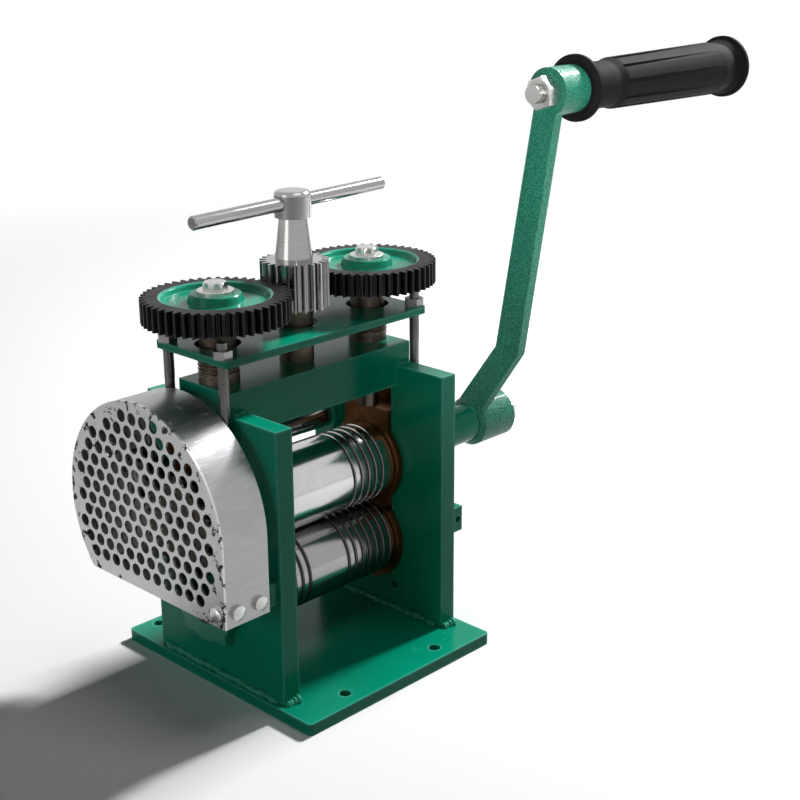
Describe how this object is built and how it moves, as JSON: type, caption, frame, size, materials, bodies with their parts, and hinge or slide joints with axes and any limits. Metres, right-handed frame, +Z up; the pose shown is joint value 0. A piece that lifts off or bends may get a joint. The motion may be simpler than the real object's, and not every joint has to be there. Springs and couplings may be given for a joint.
{
  "type": "hand cranked jewellers rolling mill",
  "caption": "Bench rolling mill with a crank, smooth and grooved rollers between slotted side plates, and screws that a tee handle turns together through spur wheels.",
  "frame": {"origin": "on the underside of the base plate, below the middle of both rollers", "axes": "+X along the rollers towards the crank, +Y from the feeding side to the back, +Z up"},
  "size_m": [0.3508, 0.115, 0.2382],
  "materials": {
    "green_gloss": "glossy enamel",
    "green_hammer": "hammered enamel",
    "bronze": "cast and oiled",
    "dark_steel": "oiled turned steel",
    "black_teeth": "blackened",
    "turned_steel": "fine turned",
    "polished_steel": "mirror polished",
    "satin_sheet": "satin brushed",
    "zinc": "bright zinc plated",
    "black_rubber": "matt moulded"
  },
  "bodies": {
    "frame": {"base_plate": "green_gloss", "left_side_plate": "green_gloss", "right_side_plate": "green_gloss", "top_beam": "green_gloss", "centre_post": "dark_steel", "lower_left_block": "bronze", "lower_right_block": "bronze", "shaft_boss": "green_gloss", "guard_lug": "green_gloss", "cover_bracket": "green_gloss", "gear_cover": "satin_sheet", "cover_grille": "satin_sheet", "cover_screws": "zinc"},
    "lift": {"lifting_plate": "green_gloss", "lifting_studs": "zinc", "stud_nuts": "zinc", "upper_left_block": "bronze", "upper_right_block": "bronze"},
    "left_screw_set": {"left_screw": "dark_steel", "left_collar": "dark_steel", "left_wheel_rim": "black_teeth", "left_wheel_web": "green_gloss", "left_wheel_bolt": "zinc"},
    "right_screw_set": {"right_screw": "dark_steel", "right_collar": "dark_steel", "right_wheel_rim": "black_teeth", "right_wheel_web": "green_gloss", "right_wheel_bolt": "zinc"},
    "handle": {"screw_pinion": "turned_steel", "handle_spindle": "turned_steel", "tee_bar": "turned_steel"},
    "upper_roller_set": {"upper_roller": "polished_steel", "upper_coupling_gear": "dark_steel", "reduction_gear": "dark_steel", "crank_sleeve": "green_gloss", "crank_hub": "green_hammer", "crank_arm": "green_hammer", "crank_nut": "zinc", "grip_bolt": "zinc", "grip_nut": "zinc"},
    "grip_body": {"grip": "black_rubber"},
    "lower_roller_set": {"lower_roller": "polished_steel", "lower_coupling_gear": "dark_steel"},
    "back_shaft_body": {"back_shaft": "polished_steel"},
    "drive_pinion_body": {"drive_pinion": "dark_steel"}
  },
  "joints": [
    {"name": "handle_turn", "type": "hinge", "parent": "frame", "child": "handle", "pos_m": [0, 0, 0.149], "axis": [0, 0, 1], "range_deg": [-1493, 393]},
    {"name": "lift_slide", "type": "slide", "parent": "frame", "child": "lift", "axis": [0, 0, 1], "range_m": [-0.001, 0.0038]},
    {"name": "left_screw_turn", "type": "hinge", "parent": "lift", "child": "left_screw_set", "pos_m": [-0.04025, 0, 0.12], "axis": [0, 0, 1], "range_deg": [-180.5, 684.5]},
    {"name": "right_screw_turn", "type": "hinge", "parent": "lift", "child": "right_screw_set", "pos_m": [0.04025, 0, 0.12], "axis": [0, 0, 1], "range_deg": [-180.5, 684.5]},
    {"name": "crank_turn", "type": "hinge", "parent": "lift", "child": "upper_roller_set", "pos_m": [0, 0, 0.0726], "axis": [1, 0, 0], "continuous": true},
    {"name": "grip_spin", "type": "hinge", "parent": "upper_roller_set", "child": "grip_body", "pos_m": [0.2, -0.02525, 0.2235], "axis": [1, 0, 0], "continuous": true},
    {"name": "lower_roller_turn", "type": "hinge", "parent": "frame", "child": "lower_roller_set", "pos_m": [0, 0, 0.0374], "axis": [1, 0, 0], "continuous": true},
    {"name": "back_shaft_turn", "type": "hinge", "parent": "frame", "child": "back_shaft_body", "pos_m": [0, 0.0255, 0.088], "axis": [1, 0, 0], "continuous": true},
    {"name": "pinion_creep", "type": "hinge", "parent": "back_shaft_body", "child": "drive_pinion_body", "pos_m": [-0.06, 0.0255, 0.088], "axis": [1, 0, 0], "range_deg": [-22.2, 5.9]}
  ],
  "couplings": [
    {"joint": "handle_turn", "follows": "lift_slide", "rad_per_m": -6854.4},
    {"joint": "left_screw_turn", "follows": "lift_slide", "rad_per_m": 3141.6},
    {"joint": "right_screw_turn", "follows": "lift_slide", "rad_per_m": 3141.6},
    {"joint": "pinion_creep", "follows": "lift_slide", "rad_per_m": -101.4},
    {"joint": "lower_roller_turn", "follows": "crank_turn", "ratio": -1},
    {"joint": "back_shaft_turn", "follows": "crank_turn", "ratio": -2.3636}
  ]
}
